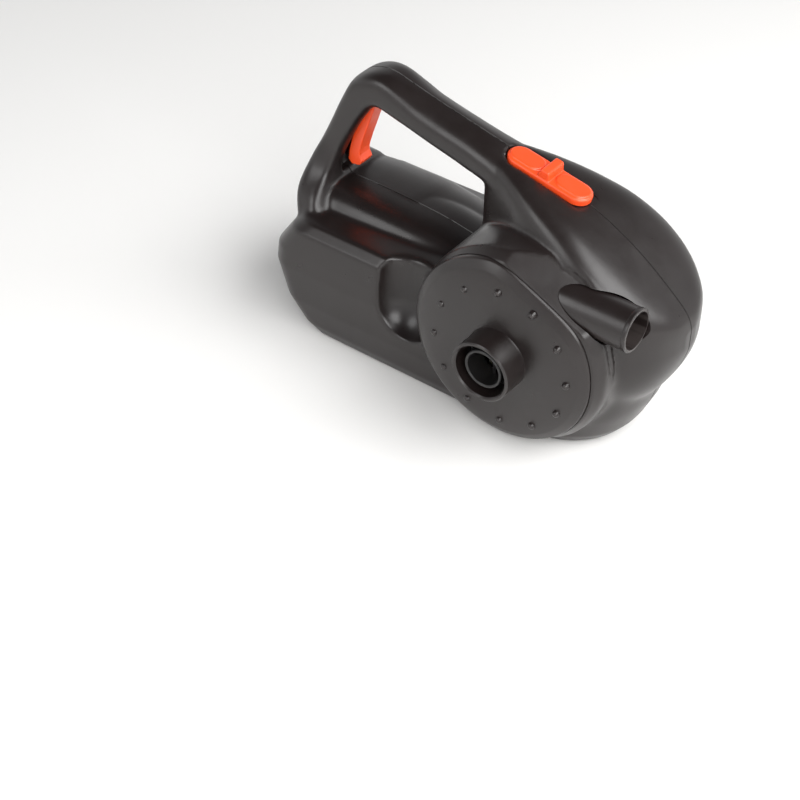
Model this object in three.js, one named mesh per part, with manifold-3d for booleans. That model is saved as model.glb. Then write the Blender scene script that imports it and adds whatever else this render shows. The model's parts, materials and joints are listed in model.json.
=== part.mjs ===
// Rechargeable electric air pump with a carrying handle, for filling and emptying air mattresses.
// Millimetres, +Z up. The nose points to +X, and the fan and its intake collar are on the -Y side.
import * as THREE from "three";
import { mergeVertices } from "three/addons/utils/BufferGeometryUtils.js";
import Module from "manifold-3d";

const wasm = await Module();
wasm.setup();

// ---- driving dimensions ------------------------------------------------------------------------
const fanAxisX = 41.5; // fan axis, ahead of the middle of the length
const seamY = 12.5; // casing seam, beyond the middle of the width, because the collar stands out at -Y
const wall = 2.6;
const reach = 200; // cutting blocks run this far, past every side of the pump
const gap = 0.3; // between pieces that touch
const baseZ = 1.5; // underside of the casing, above the feet
const fanZ = 57;

// Base block, as level outlines from the bottom up.
const baseLevels = [
  { z: baseZ, rear: -134, front: 46, half: 41 },
  { z: 8, rear: -141, front: 51, half: 43.5 },
  { z: 22, rear: -150, front: 57, half: 45.5 },
  { z: 42, rear: -156, front: 62, half: 46 },
  { z: 52, rear: -155, front: 64, half: 45.5 },
  { z: 66, rear: -145, front: 65, half: 44.5 },
  { z: 71, rear: -140, front: 62, half: 39.5 },
];
const baseCorner = 13;
const baseNoseLength = 54;

// Rounded hump over the battery, under the handle.
const humpStations = [
  { x: -147, bottom: 52, top: 75, half: 18 },
  { x: -140, bottom: 50, top: 80.5, half: 24 },
  { x: -85, bottom: 50, top: 79, half: 23 },
  { x: -58, bottom: 50, top: 75.5, half: 21.5 },
  { x: -30, bottom: 50, top: 70, half: 20 },
];

// Broad shoulder on the far side of the hump, from the seam out.
const shoulderStations = [
  { x: -146, top: 74, half: 34 },
  { x: -139, top: 80, half: 42 },
  { x: -100, top: 80, half: 45 },
  { x: -85, top: 78.5, half: 44 },
  { x: -67, top: 75, half: 43 },
  { x: -30, top: 66, half: 40 },
];
const shoulderMiddle = 40; // level that the shoulder's rounding is centred on
const farShelf = 0.72; // the base block's top is drawn in by this on the far side

// Hood and nose, as cross-sections along X.
const noseStations = [
  { x: -43, bottom: 66, top: 120, half: 10 },
  { x: -38, bottom: 60, top: 131, half: 13.5 },
  { x: -24, bottom: 50, top: 130, half: 20 },
  { x: -10, bottom: 40, top: 126.5, half: 26.5 },
  { x: 4, bottom: 30, top: 122.5, half: 31.5 },
  { x: 18, bottom: 22, top: 117.5, half: 35.5 },
  { x: 32, bottom: 18, top: 110.5, half: 37.5 },
  { x: 44, bottom: 20, top: 103, half: 36.5 },
  { x: 54, bottom: 27, top: 95.5, half: 33 },
  { x: 62, bottom: 35, top: 89, half: 27 },
  { x: 67.5, bottom: 45, top: 84, half: 20 },
  { x: 71, bottom: 54, top: 79.5, half: 12 },
  { x: 73, bottom: 62, top: 74, half: 4.5 },
];

// Handle, as a bar swept from the nose back over the top corner and down the rear post.
const handleStops = [
  { x: -6, z: 112, half: 24, thick: 8 },
  { x: -30, z: 123, half: 16, thick: 9 },
  { x: -50, z: 128.5, half: 13.5, thick: 9 },
  { x: -72, z: 133.8, half: 13, thick: 8.8 },
  { x: -94, z: 139.5, half: 12.7, thick: 8.8 },
  { x: -108, z: 142.5, half: 12.5, thick: 9 },
  { x: -118, z: 138.5, half: 12.5, thick: 9 },
  { x: -125.5, z: 128, half: 12.5, thick: 8 },
  { x: -132.5, z: 114.5, half: 12.7, thick: 7.4 },
  { x: -139, z: 101, half: 13.5, thick: 7.4 },
  { x: -143.5, z: 89, half: 18, thick: 8.4 },
  { x: -144, z: 78, half: 28, thick: 9.8 },
  { x: -140, z: 68, half: 34, thick: 10 },
];

// Fan housing: a drum on the near side with a chamfered front, and a sloping flat cut over its top.
const drum = { radius: 54, lip: 50, front: -49, shoulder: -43, seat: -46.2, back: -12 };
const roof = { chord: 45, turn: 64, slope: 33 };
const scoop = { small: 12.2, wide: 13.9, grow: 22, end: 82 };
const flank = { x: 28, y: -47, z: 103, long: 24, deep: 14, high: 15 }; // dish in the nose above the outlet

// Domed cover with the intake collar. Its outline is a circle beside the fan axis, cut off under the roof.
const cover = { x: -2.3, z: 56, radius: 51, edge: -50.2, back: -46.5, seat: 16.7, thick: 2.2 };
const coverDome = [[0, -56.4], [28, -56], [40, -54.6], [47.5, -52.8]]; // radius and depth
const gasket = { outer: 2.8, inner: 5.8, front: -48.6 }; // set in from the cover's outline
const pimple = { ring: 38.5, z: 55.2, base: 1.9, tip: 1.1, front: -56.1, count: 12, turn: 3.4 };
const collar = { radius: 16.4, bore: 14.2, front: -71, flange: 19.5 };
const guard = { inner: 9, outer: 10.6, rim: 13.9, front: -68, back: -55.2 };
const scroll = { start: 27.8, end: 41.6, tongue: 35, wall: 2.2, front: -45.8, back: -24, channel: 20.8 };
const mountingPlate = { radius: 51, thick: 2.2 }; // round flange of the scroll, under the cover
const outlet = { y: -34.3, z: 89.2, start: 24, mouth: 61.7, radius: 11, root: 12, bore: 9.6 };
const outletGuard = { from: 16, to: 13.8, outer: 9.3, inner: 8.2, reach: 9.2, bar: 0.8 }; // behind the mouth
const impeller = { radius: 25.5, front: -43.4, back: -29.6, hub: 6, blades: 9 };

// Motor, with its axis on the fan axis.
const motor = { radius: 19, front: -23.6, rear: 17, shaft: 1.59, shaftEnd: 22.5, screws: [-12.5, 12.5] };
const armature = {
  radius: 13.9, front: -13, back: 8, winding: 11.5, overhang: 3.5,
  slots: 5, slot: 1.4, slotRoot: 10, // slot is half a slot's width
};
const commutator = { radius: 4.6, front: 12, back: 18.6 };
const magnets = { inner: 14.6, outer: 17.2, front: -14, back: 10 };
const motorTab = { near: 9, far: 14, half: 0.4, long: 10 };

// Battery, lying on its long side and set towards the far wall.
const battery = { x: -88.3, y: 4.5, z: 7.5, length: 93, width: 66, height: 46.5, lid: 3 };
const tab = { x: -59, half: 3, thick: 0.8, foot: 4, high: 8, negative: -8, positive: 22 };
const clamp = { x0: -104, x1: -92, y0: -30, y1: 41, thick: 2.4, stand: 2.4, standY: 11, high: 8 };
const pad = { x0: -122, x1: -94, y0: -41, z0: 14, z1: 42 };
const boardSize = { x0: -122, x1: -76, half: 16, thick: 1.6 };

// Recess between the battery block and the drum.
const recess = { x: -64, y: -50.5, z: 47, radius: 18.5, top: 50 };

// Slide switch on the hood, in its own flat frame that is then sloped with the hood.
const slide = { x: -12, z: 125.2, tilt: 12, length: 48, width: 12, travel: 4, proud: 3.4, thumb: 8 };
const thumbPad = { length: 17, width: 8.4, rise: 0.8, at: 13.2 };
const slideStem = { half: 3, wide: 1.6, down: -9.6, slotHalf: 3.8, slotWide: 2.2 };
const slideBody = { x0: -15, x1: 19, half: 6.5, bottom: -16, top: -3.1 };
const pocket = { play: 1.2, depth: -0.4, floor: -2.8, floorEdge: 6 };

// Trigger in the rear post, hung from a pin in the corner of the handle.
const trigger = { x: -118.5, z: 137, half: 4.5, hub: 4.2, pin: 1.5, pinHalf: 9.5, side: 0.9 };
const triggerLine = [
  [-122, 136], [-122.2, 128], [-125.6, 118], [-129.4, 107], [-132, 97.5], [-132.6, 92], [-130.4, 89.8],
  [-125.2, 90.6], [-123.4, 93.4], [-125, 96.5], [-124.8, 100], [-122.6, 107], [-118.6, 118], [-115.4, 127],
  [-115, 136],
];
const triggerMouthLine = [
  [-110.5, 126], [-113.5, 134.6], [-124, 134.6], [-146.5, 90], [-140, 84], [-126, 82],
];
const spring = { x0: -136.8, x1: -129, z: 112.5, radius: 2.6, wire: 0.45, turns: 5 };
const microSwitch = { x0: -146.3, x1: -141, half: 3.2, z0: 80.5, z1: 93.5 };
const pinBoss = { radius: 4.4, room: 6, half: 11 };

// Casing screws, driven from the far side: x, z, the outer surface there and how far the near post goes.
const screws = [
  { name: "rear", x: -127, z: 61, skin: 44.5, post: -43 },
  { name: "bottom", x: -29.5, z: 9.5, skin: 43.5, post: -42 },
  { name: "front", x: 31, z: 10, skin: 37, post: -41 },
  { name: "nose", x: 57, z: 50, skin: 29, post: -30 },
  { name: "hood", x: 36, z: 98, skin: 34, post: -22.8 },
  { name: "handle", x: -78, z: 135.3, skin: 12.6, post: -11.5 },
];
const boss = { tower: 5, post: 3.8, bore: 3.5, seat: 9.5, hole: 1.8 };
const screwSize = { shank: 1.5, head: 3, headHigh: 2.4, tip: -9.5 };

// Cooling slots in the far side, beside the motor.
const vents = { count: 7, pitch: 6, half: 1.1, y0: 34, y1: 60, z0: 40, z1: 70 };


const jack = { y: 14, z: 40, radius: 5.5, bore: 3.2, face: -155.4, inside: -142 };
const led = { y: 28, z: 40, radius: 2 };
const feet = { radius: 6, height: 2.1, places: [[-118, -28], [-118, 28], [12, -26], [12, 28]] };

// ---- geometry helpers --------------------------------------------------------------------------
// Turns a three.js geometry into a solid.
function solid(geometry) {
  const bare = new THREE.BufferGeometry();
  bare.setAttribute("position", geometry.getAttribute("position").clone());
  if (geometry.index) bare.setIndex(geometry.index.clone());
  const merged = mergeVertices(bare, 1e-4);
  const ids = merged.index.array;
  const triVerts = [];
  for (let i = 0; i < ids.length; i += 3) {
    const [a, b, c] = [ids[i], ids[i + 1], ids[i + 2]];
    if (a !== b && b !== c && c !== a) triVerts.push(a, b, c);
  }
  const vertProperties = merged.getAttribute("position").array;
  const mesh = new wasm.Mesh({ numProp: 3, vertProperties, triVerts: new Uint32Array(triVerts) });
  return new wasm.Manifold(mesh);
}

function join(...solids) {
  return solids.reduce((sum, next) => sum.add(next));
}

function cut(from, ...solids) {
  return solids.reduce((rest, next) => rest.subtract(next), from);
}

// A box between two corners.
function box(x0, y0, z0, x1, y1, z1) {
  const geometry = new THREE.BoxGeometry(x1 - x0, y1 - y0, z1 - z0);
  return solid(geometry.translate((x0 + x1) / 2, (y0 + y1) / 2, (z0 + z1) / 2));
}

// A round bar or cone along X, Y or Z, from one coordinate to the other, around the point (u, v).
function rod(axis, from, to, r0, r1, u, v, sides = 24) {
  const geometry = new THREE.CylinderGeometry(r1, r0, to - from, sides);
  const middle = (from + to) / 2;
  if (axis === "x") return solid(geometry.rotateZ(-Math.PI / 2).translate(middle, u, v));
  if (axis === "y") return solid(geometry.translate(u, middle, v));
  return solid(geometry.rotateX(Math.PI / 2).translate(u, v, middle));
}

// A body of revolution around the fan axis. Profile points are [radius, y].
function turned(profile, sides = 36) {
  const points = profile.map(([r, y]) => new THREE.Vector2(r, y));
  return solid(new THREE.LatheGeometry(points, sides).translate(0, 0, fanZ));
}

// Skins a row of rings that all hold the same number of points, and closes both ends.
function loft(rings) {
  const count = rings[0].length;
  const points = rings.flat();
  const centre = (ring) => ring.reduce((sum, p) => sum.add(p), new THREE.Vector3()).divideScalar(count);
  const first = points.push(centre(rings[0])) - 1;
  const last = points.push(centre(rings.at(-1))) - 1;
  const index = [];
  const end = (rings.length - 1) * count;
  for (let i = 0; i < count; i++) {
    const j = (i + 1) % count;
    index.push(first, j, i, last, end + i, end + j);
    for (let row = 0; row < end; row += count) {
      index.push(row + i, row + j, row + count + j, row + i, row + count + j, row + count + i);
    }
  }
  const made = solid(new THREE.BufferGeometry().setFromPoints(points).setIndex(index));
  if (made.volume() > 0) return made;
  const turnedIndex = index.map((_, k) => index[k - (k % 3) + 2 - (k % 3)]);
  return solid(new THREE.BufferGeometry().setFromPoints(points).setIndex(turnedIndex));
}

// A point of a superellipse, with one power above its middle and one below.
function superPoint(angle, half, high, upper, lower) {
  const power = Math.sin(angle) > 0 ? upper : lower;
  const c = Math.cos(angle);
  const s = Math.sin(angle);
  return [half * Math.sign(c) * Math.abs(c) ** (2 / power), high * Math.sign(s) * Math.abs(s) ** (2 / power)];
}

function angles(count) {
  return Array.from({ length: count }, (_, i) => (2 * Math.PI * i) / count);
}

// ---- casing forms, each grown by a negative or shrunk by a positive inset -------------------------
function baseRing(level, inset) {
  const half = level.half - inset;
  const rear = level.rear + inset;
  const front = level.front - inset;
  const long = baseNoseLength;
  const corner = baseCorner - inset;
  const ring = [];
  for (let i = 0; i <= 16; i++) {
    const [y, x] = superPoint((Math.PI * i) / 16, -half, long, 2.3, 2.3);
    ring.push([front - long + x, y]);
  }
  for (const side of [1, -1]) {
    for (let i = 0; i <= 4; i++) {
      const turn = ((side > 0 ? i : 4 - i) / 4) * (Math.PI / 2);
      const x = rear + corner - corner * Math.sin(turn);
      ring.push([x, side * (half - corner + corner * Math.cos(turn))]);
    }
  }
  const drawnIn = level.z > baseLevels.at(-2).z ? farShelf : 1;
  return ring.map(([x, y]) => new THREE.Vector3(x, y > 0 ? y * drawnIn : y, level.z));
}

function baseForm(inset) {
  const levels = baseLevels.map((level) => ({ ...level }));
  levels[0].z += inset;
  levels.at(-1).z -= inset;
  return loft(levels.map((level) => baseRing(level, inset)));
}

function stationForm(stations, inset, upper, lower, count) {
  const used = stations.filter((s) => s.half - inset > 3).map((s) => ({ ...s }));
  used[0].x += inset;
  used.at(-1).x -= inset * 0.6;
  const rings = used.map((s) => {
    const high = (s.top - s.bottom) / 2 - inset;
    const middle = (s.top + s.bottom) / 2;
    return angles(count).map((angle) => {
      const [y, z] = superPoint(angle, s.half - inset, high, upper, lower);
      return new THREE.Vector3(s.x, y, middle + z);
    });
  });
  return loft(rings);
}

function shoulderForm(inset) {
  const rings = shoulderStations.map((s, i) => {
    const ends = i === 0 ? inset : i === shoulderStations.length - 1 ? -inset : 0;
    const arc = angles(32).slice(0, 9).map((angle) => {
      const [y, z] = superPoint(angle, s.half - inset, s.top - shoulderMiddle - inset, 3.2, 3.2);
      return new THREE.Vector3(s.x + ends, y, shoulderMiddle + z);
    });
    return [...arc, new THREE.Vector3(s.x + ends, 0, shoulderMiddle)];
  });
  return loft(rings);
}

function handleForm(inset) {
  const path = new THREE.CatmullRomCurve3(handleStops.map((s) => new THREE.Vector3(s.x, 0, s.z)));
  const rings = handleStops.map((stop, i) => {
    const along = path.getTangent(i / (handleStops.length - 1));
    const across = new THREE.Vector3(-along.z, 0, along.x);
    return angles(20).map((angle) => {
      const [y, t] = superPoint(angle, stop.half - inset, stop.thick - inset, 3.4, 3.4);
      return new THREE.Vector3(stop.x, y, stop.z).addScaledVector(across, t);
    });
  });
  return loft(rings);
}

// Clearance around the outlet tube: a short cone, then a channel along the flank of the nose.
function scoopForm(grow) {
  const { y, z, start } = outlet;
  const cone = rod("x", start - grow, start + scoop.grow, scoop.small + grow, scoop.wide + grow, y, z);
  const from = start + scoop.grow - 1;
  return join(cone, rod("x", from, scoop.end, scoop.wide + grow, scoop.wide + grow, y, z));
}

function recessForm(grow) {
  const { x, y, z, radius, top } = recess;
  const ball = new THREE.SphereGeometry(radius + grow, 20, 12).translate(x, y, z);
  return join(solid(ball), rod("z", z, z + top, radius + grow, radius + grow, x, y, 20));
}

// Everything above the drum's sloping roof, which runs back and up from the cover's straight edge.
function aboveRoof(inset) {
  const above = box(-inset, -reach, -reach, reach, reach, reach);
  const turn = THREE.MathUtils.degToRad(roof.turn);
  const edge = [cover.x + roof.chord * Math.cos(turn), drum.front, cover.z + roof.chord * Math.sin(turn)];
  return above.rotate([0, 0, -roof.slope]).rotate([0, -roof.turn, 0]).translate(edge);
}

function drumForm(inset) {
  const { radius, lip, front, shoulder, seat, back } = drum;
  if (inset) {
    const hollow = rod("y", seat, back - inset, radius - inset, radius - inset, 0, fanZ, 48);
    return cut(hollow, aboveRoof(inset));
  }
  const chamfer = rod("y", front, shoulder, lip, radius, 0, fanZ, 48);
  const barrel = rod("y", shoulder, back, radius, radius, 0, fanZ, 48);
  return cut(join(chamfer, barrel), aboveRoof(0));
}

function flankForm(inset) {
  const { x, y, z, long, deep, high } = flank;
  const ball = new THREE.SphereGeometry(1, 20, 14).scale(long + inset, deep + inset, high + inset);
  return solid(ball.translate(x, y, z));
}

// The cover's outline, as a disc with its straight edge.
function coverDisc(inset, y0, y1) {
  const disc = rod("y", y0, y1, cover.radius - inset, cover.radius - inset, cover.x, cover.z, 56);
  const beyond = box(roof.chord - inset, -reach, -reach, reach, reach, reach);
  return cut(disc, beyond.rotate([0, -roof.turn, 0]).translate([cover.x, 0, cover.z]));
}

function casingForm(inset) {
  const rear = join(baseForm(inset), stationForm(humpStations, inset, 3, 3, 16), shoulderForm(inset));
  const block = cut(rear, recessForm(inset));
  const hood = stationForm(noseStations, inset, 5.5, 2.4, 28);
  const whole = join(block, cut(hood, flankForm(inset)), handleForm(inset), drumForm(inset));
  return cut(whole, scoopForm(inset), box(-reach, -reach, -reach, reach, reach, baseZ + inset));
}

// ---- materials ------------------------------------------------------------------------------------
const look = (color, roughness, metalness = 0) =>
  new THREE.MeshStandardMaterial({ color, roughness, metalness });
const charcoal = look(0x3b3636, 0.5);
const blackPlastic = look(0x1c1b1b, 0.6);
const orange = look(0xf0622f, 0.42);
const zinc = look(0xb9bcbf, 0.38, 1);
const steel = look(0x8f9296, 0.3, 1);
const bronze = look(0xa8753a, 0.45, 1);
const brass = look(0xc9a24a, 0.35, 1);
const rubber = look(0x161616, 0.85);
const foam = look(0x4a4a4c, 0.95);
const batteryCase = look(0x2a2c30, 0.55);
const whiteNylon = look(0xd9d7cf, 0.5);
const board = look(0x2c5b3a, 0.5);
const lens = look(0xc23a2a, 0.15);
const wireRed = look(0xa02822, 0.5);

const pump = new THREE.Group();
pump.position.set(fanAxisX, seamY, 0);

function piece(name, shape, material, parent = pump) {
  const { vertProperties, triVerts, numProp } = shape.getMesh();
  const geometry = new THREE.BufferGeometry();
  geometry.setAttribute("position", new THREE.BufferAttribute(vertProperties, numProp));
  geometry.setIndex(new THREE.BufferAttribute(triVerts, 1));
  geometry.computeVertexNormals();
  const mesh = new THREE.Mesh(geometry, material);
  mesh.name = name;
  parent.add(mesh);
}

const fanGroup = new THREE.Group();
pump.add(fanGroup);

// A solid made flat around the slide switch's middle, turned down with the slope of the hood.
const sloped = (shape) => shape.rotate([0, slide.tilt, 0]).translate([slide.x, 0, slide.z]);

// ---- casing half shells -----------------------------------------------------------------------------
const nearSide = box(-reach, -reach, -reach, reach, -gap / 2, reach);
const farSide = box(-reach, gap / 2, -reach, reach, reach, reach);

function capsule(length, width, z0, z1, middle = 0) {
  const half = length / 2 - width / 2;
  const ends = [-half, half].map((x) => rod("z", z0, z1, width / 2, width / 2, middle + x, 0, 24));
  return join(...ends, box(middle - half, -width / 2, z0, middle + half, width / 2, z1));
}

// An outline in the XZ plane, given from front to rear, made thick along Y.
function plate(points, y0, y1) {
  const outline = new THREE.Shape(points.map(([x, z]) => new THREE.Vector2(x, z)));
  const geometry = new THREE.ExtrudeGeometry(outline, { depth: y1 - y0, bevelEnabled: false });
  return solid(geometry.rotateX(Math.PI / 2).translate(0, y1, 0));
}

// The pocket that the slide switch runs in: a floor inside the hood, the seat above it and a stem slot.
function slidePocket(body) {
  const middle = slide.travel / 2;
  const { play, depth, floor, floorEdge } = pocket;
  const { slotHalf, slotWide } = slideStem;
  const length = slide.length + slide.travel;
  const seat = capsule(length + play, slide.width + 1, depth, 20, middle);
  const under = capsule(length + floorEdge, slide.width + floorEdge - 1, floor, 2, middle);
  const slot = box(-slotHalf, -slotWide, -12, slotHalf + slide.travel, slotWide, 4);
  const inHood = sloped(under).intersect(stationForm(noseStations, 0.5, 5.5, 2.4, 28));
  return cut(join(body, inHood), sloped(seat), sloped(slot));
}

// The mouth in the front of the rear post that the trigger swings through.
function triggerMouth() {
  const half = trigger.half + trigger.side;
  return plate(triggerMouthLine, -half, half);
}

// The trigger's pin, or the room for it, with the given play round it and at its ends.
function pinRod(play, ends) {
  const { x, z, pin, pinHalf } = trigger;
  return rod("y", -pinHalf - ends, pinHalf + ends, pin + play, pin + play, x, z, 20);
}

function pinBosses() {
  const { radius, room, half } = pinBoss;
  const ring = rod("y", -half, half, radius, radius, trigger.x, trigger.z, 20);
  const middle = rod("y", -trigger.half - gap, trigger.half + gap, room, room, trigger.x, trigger.z, 20);
  return cut(ring, middle).intersect(handleForm(0.6));
}

function ventSlots() {
  const { count, pitch, half, y0, y1, z0, z1 } = vents;
  return Array.from({ length: count }, (_, i) => {
    const x = pitch * (i - (count - 1) / 2);
    return box(x - half, y0, z0, x + half, y1, z1);
  });
}

function makeCasing() {
  let body = slidePocket(cut(casingForm(0), casingForm(wall)));
  body = cut(join(body, pinBosses()), triggerMouth(), coverDisc(-gap, -60, drum.seat));
  body = cut(body, pinRod(gap, gap));
  body = cut(body, rod("x", 12, 76, outlet.root + gap, outlet.root + gap, outlet.y, outlet.z));
  body = cut(body, rod("x", -165, jack.inside - 2, jack.radius + gap, jack.radius + gap, jack.y, jack.z, 24));
  body = cut(body, rod("x", -165, jack.inside - 2, led.radius + gap, led.radius + gap, led.y, led.z, 16));
  for (const [x, y] of feet.places) {
    body = cut(body, rod("z", 0, feet.height + gap, feet.radius + gap, feet.radius + gap, x, y, 16));
  }
  const inside = casingForm(0.6);
  const posts = screws.map((s) => rod("y", s.post, 0, boss.post, boss.post, s.x, s.z, 12));
  const towers = screws.map((s) => rod("y", 0, s.skin - 1, boss.tower, boss.tower, s.x, s.z, 14));
  let nearShell = join(body, join(...posts).intersect(inside)).intersect(nearSide);
  let farShell = join(body, join(...towers).intersect(inside)).intersect(farSide);
  for (const s of screws) {
    const seat = screwSeat(s);
    nearShell = cut(nearShell, rod("y", -10.5, 1, boss.hole, boss.hole, s.x, s.z, 8));
    farShell = cut(farShell, rod("y", -1, seat + 1, boss.hole, boss.hole, s.x, s.z, 8));
    farShell = cut(farShell, rod("y", seat, 60, boss.bore, boss.bore, s.x, s.z, 14));
  }
  piece("shell_near", nearShell, charcoal);
  piece("shell_far", cut(farShell, ...ventSlots()), charcoal);
}

const screwSeat = (s) => Math.min(boss.seat, s.skin - 5);

// ---- fan housing --------------------------------------------------------------------------------------
// The scroll's outline around the fan axis: a spiral from the tongue to the top, then the outlet channel.
function scrollOutline(grow) {
  const points = [];
  const turn = 360 - (90 - scroll.tongue);
  const steps = 30;
  for (let i = 0; i <= steps; i++) {
    const angle = THREE.MathUtils.degToRad(scroll.tongue - (turn * i) / steps);
    const radius = scroll.start + ((scroll.end - scroll.start) * i) / steps + grow;
    points.push([radius * Math.cos(angle), fanZ + radius * Math.sin(angle)]);
  }
  points.push([scroll.channel, outlet.z + outlet.bore + grow]);
  points.push([scroll.channel, outlet.z - outlet.bore - grow]);
  return points;
}

function makeFanHousing() {
  const { y, z, mouth } = outlet;
  const { radius, thick } = mountingPlate;
  const plateRing = rod("y", scroll.front, scroll.front + thick, radius, radius, 0, fanZ, 40);
  const scroller = plate(scrollOutline(scroll.wall), scroll.front, scroll.back);
  const clear = [scoopForm(wall + gap), aboveRoof(wall + gap), flankForm(wall + gap)];
  const body = cut(scroller, ...clear);
  const tube = rod("x", 18.8, mouth, outlet.root, outlet.radius, y, z, 28);
  const channel = plate(scrollOutline(0), scroll.front - 3, scroll.back - 2.4);
  const hollow = cut(channel, aboveRoof(wall + gap + scroll.wall));
  let housing = join(body, cut(plateRing, ...clear), tube);
  housing = cut(housing, hollow, rod("x", 14, mouth + 5, outlet.bore, outlet.bore, y, z, 28));
  housing = cut(housing, rod("y", -30, -20, 4.6, 4.6, 0, fanZ, 24));
  housing = cut(housing, ...motorScrewHoles(-30, -20));
  piece("volute_housing", housing, charcoal, fanGroup);
  const { from, to, outer, inner, reach: long, bar } = outletGuard;
  const disc = rod("x", mouth - from, mouth - to, outer, outer, y, z, 20);
  const hoop = cut(disc, rod("x", 0, mouth, inner, inner, y, z, 20));
  const ribs = join(
    box(mouth - from, y - long, z - bar, mouth - to, y + long, z + bar),
    box(mouth - from, y - bar, z - long, mouth - to, y + bar, z + long),
    hoop,
  );
  piece("outlet_guard", ribs, blackPlastic, fanGroup);
}

function makeCover() {
  const { thick, edge, back, seat } = cover;
  const dome = (drop) =>
    turned([
      [0, back + 0.1], ...coverDome.map(([r, y]) => [r, y + drop]), [cover.radius, edge + drop],
      [cover.radius, back + 0.1], [0, back + 0.1],
    ], 56).translate([cover.x, 0, cover.z - fanZ]);
  const outer = dome(0).intersect(coverDisc(0, -60, back));
  const inner = dome(thick).intersect(coverDisc(thick, -60, back + 1));
  let shape = cut(outer, inner, coverDisc(thick, -48, back + 1), rod("y", -60, -40, seat, seat, 0, fanZ, 36));
  for (let i = 0; i < pimple.count; i++) {
    const angle = THREE.MathUtils.degToRad(pimple.turn + (360 * i) / pimple.count);
    const [x, z] = [pimple.ring * Math.cos(angle), pimple.z + pimple.ring * Math.sin(angle)];
    shape = join(shape, rod("y", pimple.front, -53.6, pimple.tip, pimple.base, x, z, 7));
  }
  piece("fan_cover", shape, charcoal, fanGroup);
  const seal = cut(coverDisc(gasket.outer, gasket.front, back), coverDisc(gasket.inner, -50, back + 1));
  piece("cover_gasket", seal, rubber, fanGroup);
  const { radius, bore, front, flange } = collar;
  const tube = [
    [bore, -51.8], [bore, front + 0.8], [bore + 0.8, front], [radius - 0.8, front], [radius, front + 0.8],
    [radius, -53.8], [flange, -53.8], [flange, -51.8], [bore, -51.8],
  ];
  piece("intake_collar", turned(tube, 32), charcoal, fanGroup);
  const cross = join(
    box(-guard.rim + 0.3, guard.back - 2.6, fanZ - 0.9, guard.rim - 0.3, guard.back, fanZ + 0.9),
    box(-0.9, guard.back - 2.6, fanZ - guard.rim + 0.3, 0.9, guard.back, fanZ + guard.rim - 0.3),
  );
  const rings = join(
    ringAround(guard.inner, guard.outer, guard.front, guard.back),
    ringAround(guard.rim - 1.2, guard.rim, guard.back - 2.6, guard.back),
  );
  piece("intake_guard", join(rings, cross), blackPlastic, fanGroup);
}

function ringAround(inner, outer, y0, y1, sides = 28) {
  return turned([[inner, y1], [inner, y0], [outer, y0], [outer, y1], [inner, y1]], sides);
}

// ---- rotor and motor ----------------------------------------------------------------------------------
function motorScrewHoles(y0, y1) {
  return motor.screws.map((x) => rod("y", y0, y1, boss.hole, boss.hole, x, fanZ, 12));
}

function makeRotor() {
  const { radius, front, back, hub, blades } = impeller;
  const bore = motor.shaft + gap;
  let wheel = join(
    ringAround(bore, radius, back - 1.6, back, 36),
    ringAround(bore, hub, front + 4, back, 18),
  );
  for (let i = 0; i < blades; i++) {
    const blade = curvedBlade(hub - 0.6, radius - 0.4, front, back - 0.8);
    wheel = join(wheel, aboutFan(blade, (360 * i) / blades));
  }
  piece("impeller", wheel, whiteNylon, fanGroup);
  const shaft = rod("y", front + 2.6, motor.shaftEnd, motor.shaft, motor.shaft, 0, fanZ, 16);
  piece("motor_shaft", shaft, steel, fanGroup);
  const nut = cut(
    rod("y", front + 0.4, front + 3.7, 3, 3.4, 0, fanZ, 6),
    rod("y", front + 2.3, front + 5, motor.shaft + gap, motor.shaft + gap, 0, fanZ, 12),
  );
  piece("impeller_nut", nut, brass, fanGroup);
  const { slot, slots: count, slotRoot, winding, overhang } = armature;
  const slots = Array.from({ length: count }, (_, i) => {
    const cutter = box(slotRoot, armature.front - 1, fanZ - slot, 17, armature.back + 1, fanZ + slot);
    return aboutFan(cutter, (360 * i) / count);
  });
  const stack = cut(ringAround(bore, armature.radius, armature.front, armature.back, 25), ...slots);
  const windings = ringAround(bore, winding, armature.front - overhang, armature.back + overhang, 20);
  piece("motor_armature", join(stack, windings), steel, fanGroup);
  const { radius: outer, front: y0, back: y1 } = commutator;
  piece("motor_commutator", ringAround(bore, outer, y0, y1, 16), brass, fanGroup);
}

// Turns a shape about the fan axis.
const aboutFan = (shape, degrees) =>
  shape.translate([0, 0, -fanZ]).rotate([0, degrees, 0]).translate([0, 0, fanZ]);

// A blade that leans back as it runs outwards.
function curvedBlade(r0, r1, y0, y1) {
  const steps = 4;
  const edge = (side) =>
    Array.from({ length: steps + 1 }, (_, i) => {
      const t = i / steps;
      const radius = r0 + (r1 - r0) * t;
      const angle = 0.75 * t + (side * 0.7) / radius;
      return [radius * Math.cos(angle), fanZ + radius * Math.sin(angle)];
    });
  return plate([...edge(-1), ...edge(1).reverse()], y0, y1);
}

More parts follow.
